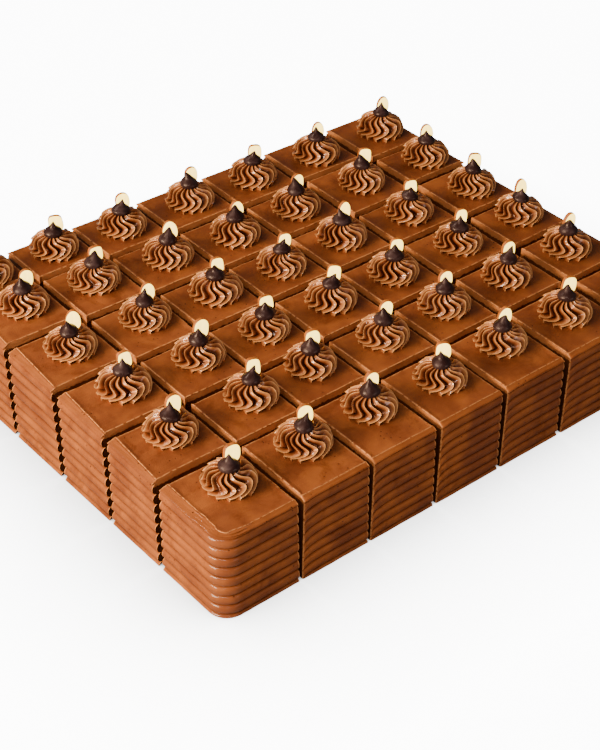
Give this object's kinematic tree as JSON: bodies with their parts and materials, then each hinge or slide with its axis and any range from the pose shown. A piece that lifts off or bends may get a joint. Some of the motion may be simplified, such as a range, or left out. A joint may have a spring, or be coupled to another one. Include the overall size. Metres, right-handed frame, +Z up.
{
  "type": "chocolate sheet cake",
  "caption": "Rectangular chocolate sheet cake with combed icing sides, cut into portions that each carry a piped rosette, a chocolate drop and half a nut.",
  "frame": {"origin": "middle of the cake's underside, on the surface it stands on", "axes": "+X along the cake's long sides, +Y across it towards its tallest side, +Z up"},
  "size_m": [0.387, 0.311, 0.0952],
  "materials": {
    "chocolate_icing": "satin milk chocolate buttercream over dark chocolate sponge",
    "piped_chocolate": "satin piped milk chocolate buttercream",
    "dark_chocolate": "dull satin dark chocolate",
    "nut": "dry cut nut with a brown skin"
  },
  "bodies": {
    "root": {"portion_1_1": "chocolate_icing", "portion_1_2": "chocolate_icing", "portion_1_3": "chocolate_icing", "portion_1_4": "chocolate_icing", "portion_1_5": "chocolate_icing", "portion_1_6": "chocolate_icing", "portion_2_1": "chocolate_icing", "portion_2_2": "chocolate_icing", "portion_2_3": "chocolate_icing", "portion_2_4": "chocolate_icing", "portion_2_5": "chocolate_icing", "portion_2_6": "chocolate_icing", "portion_3_1": "chocolate_icing", "portion_3_2": "chocolate_icing", "portion_3_3": "chocolate_icing", "portion_3_4": "chocolate_icing", "portion_3_5": "chocolate_icing", "portion_3_6": "chocolate_icing", "portion_4_1": "chocolate_icing", "portion_4_2": "chocolate_icing", "portion_4_3": "chocolate_icing", "portion_4_4": "chocolate_icing", "portion_4_5": "chocolate_icing", "portion_4_6": "chocolate_icing", "portion_5_1": "chocolate_icing", "portion_5_2": "chocolate_icing", "portion_5_3": "chocolate_icing", "portion_5_4": "chocolate_icing", "portion_5_5": "chocolate_icing", "portion_5_6": "chocolate_icing", "portion_6_1": "chocolate_icing", "portion_6_2": "chocolate_icing", "portion_6_3": "chocolate_icing", "portion_6_4": "chocolate_icing", "portion_6_5": "chocolate_icing", "portion_6_6": "chocolate_icing", "portion_7_1": "chocolate_icing", "portion_7_2": "chocolate_icing", "portion_7_3": "chocolate_icing", "portion_7_4": "chocolate_icing", "portion_7_5": "chocolate_icing", "portion_7_6": "chocolate_icing"}
  },
  "joints": []
}
